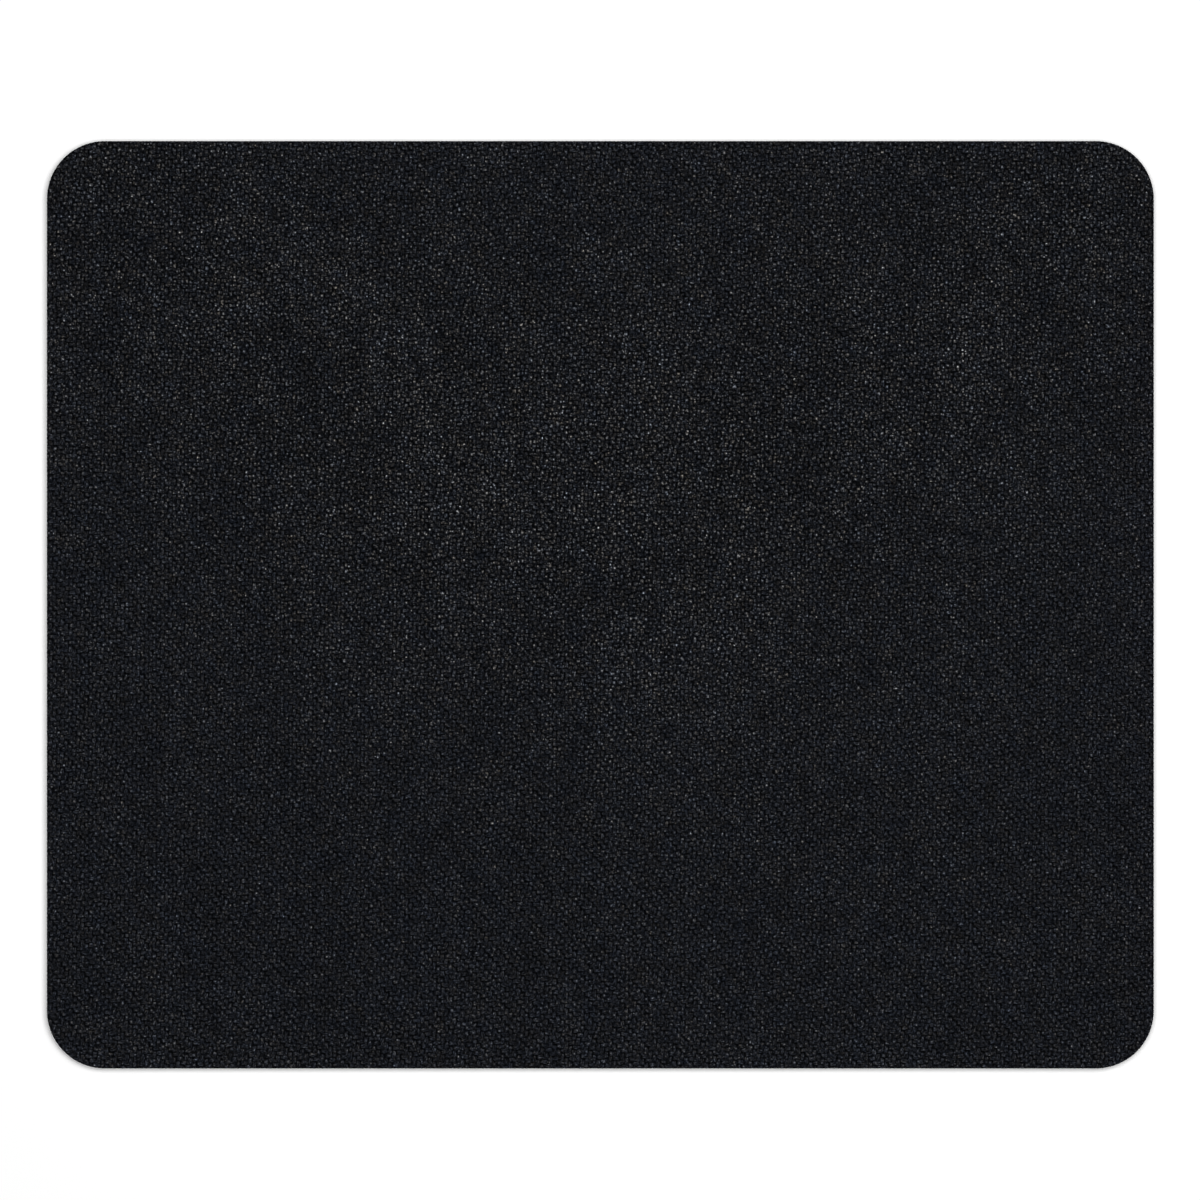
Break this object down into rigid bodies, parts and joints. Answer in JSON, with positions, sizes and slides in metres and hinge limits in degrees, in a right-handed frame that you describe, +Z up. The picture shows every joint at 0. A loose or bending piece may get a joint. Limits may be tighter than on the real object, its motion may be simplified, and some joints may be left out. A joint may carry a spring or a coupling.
{
  "type": "mouse pad",
  "caption": "Thin rectangular mouse pad with round corners: black woven cloth cover laminated to a sponge rubber base with a plain cut edge.",
  "frame": {"origin": "centre of the underside, on the surface that the pad rests on", "axes": "+X along the long side, +Y along the short side towards the edge at the top of the picture, +Z up through the cloth face"},
  "size_m": [0.235, 0.1968, 0.0032],
  "materials": {
    "woven_cloth": "matt black twill weave of polyester yarn with a faint glint on each float",
    "bonding_film": "clear hot-melt film, which reads dark between two black layers",
    "sponge_rubber": "matt black sponge on the cut face, with a cloth-impressed skin underneath"
  },
  "bodies": {
    "root": {"sponge_base": "sponge_rubber", "bonding_film": "bonding_film", "cloth_cover": "woven_cloth"}
  },
  "joints": []
}
